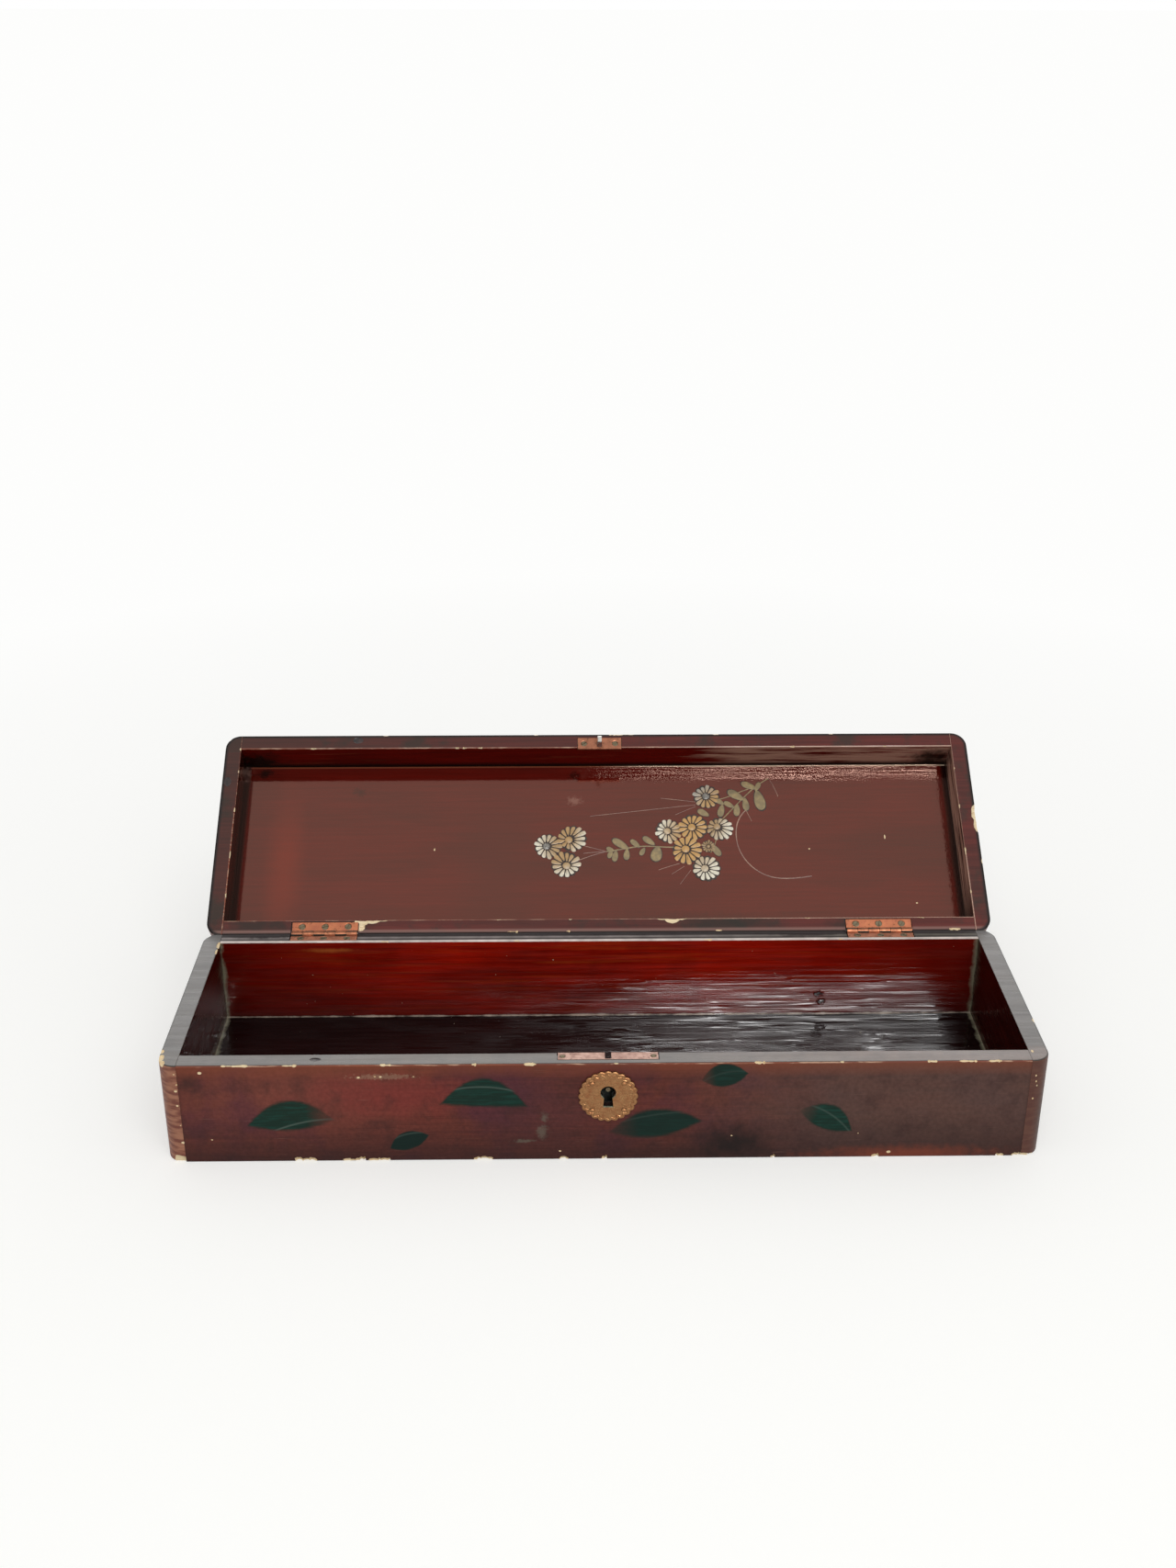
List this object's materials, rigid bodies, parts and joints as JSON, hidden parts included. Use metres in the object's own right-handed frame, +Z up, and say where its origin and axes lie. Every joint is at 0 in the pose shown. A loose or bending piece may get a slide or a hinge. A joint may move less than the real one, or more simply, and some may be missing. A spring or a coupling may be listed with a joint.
{
  "type": "lacquer box",
  "caption": "Long lacquered wooden keepsake box with a shallow hinged lid, rounded corners, butt hinges, a mortised box lock and a scalloped keyhole plate.",
  "frame": {"origin": "middle of the box's underside, on the surface it stands on", "axes": "+X along the box towards its right end seen from the front, +Y from the front to the back, +Z up"},
  "size_m": [0.305, 0.1746, 0.0942],
  "materials": {
    "lacquer": "glossy red-brown lacquer over wood",
    "dark_lacquer": "glossy dark red lacquer over wood",
    "copper": "worn copper-coloured plate",
    "brass": "stippled, tarnished",
    "iron": "dull, tarnished",
    "bright_steel": "worn bright"
  },
  "bodies": {
    "box": {"back_board": "lacquer", "bottom_board": "dark_lacquer", "escutcheon": "brass", "escutcheon_pin_1": "brass", "escutcheon_pin_2": "brass", "escutcheon_pin_3": "brass", "escutcheon_pin_4": "brass", "front_board": "lacquer", "hinge_left_box_leaf": "copper", "hinge_left_box_screw_1": "iron", "hinge_left_box_screw_2": "iron", "hinge_left_box_screw_3": "iron", "hinge_left_pin": "iron", "hinge_right_box_leaf": "copper", "hinge_right_box_screw_1": "iron", "hinge_right_box_screw_2": "iron", "hinge_right_box_screw_3": "iron", "hinge_right_pin": "iron", "left_end_board": "lacquer", "lock_cap": "iron", "lock_case": "copper", "lock_key_post": "iron", "lock_nail_1": "iron", "lock_nail_2": "iron", "lock_spring": "iron", "right_end_board": "lacquer"},
    "lid": {"hinge_left_lid_leaf": "copper", "hinge_left_lid_screw_1": "iron", "hinge_left_lid_screw_2": "iron", "hinge_left_lid_screw_3": "iron", "hinge_right_lid_leaf": "copper", "hinge_right_lid_screw_1": "iron", "hinge_right_lid_screw_2": "iron", "hinge_right_lid_screw_3": "iron", "lid_back_rail": "lacquer", "lid_front_rail": "lacquer", "lid_left_rail": "lacquer", "lid_right_rail": "lacquer", "lid_top_board": "lacquer", "staple": "bright_steel", "strike_plate": "copper", "strike_screw_1": "iron", "strike_screw_2": "iron"},
    "bolt": {"lock_bolt": "iron"}
  },
  "joints": [
    {"name": "lid_hinge", "type": "hinge", "parent": "box", "child": "lid", "pos_m": [0.001, 0.0444, 0.04], "axis": [1, 0, 0], "range_deg": [0, 144]},
    {"name": "bolt_slide", "type": "slide", "parent": "box", "child": "bolt", "axis": [1, 0, 0], "range_m": [0, 0.0035]}
  ]
}
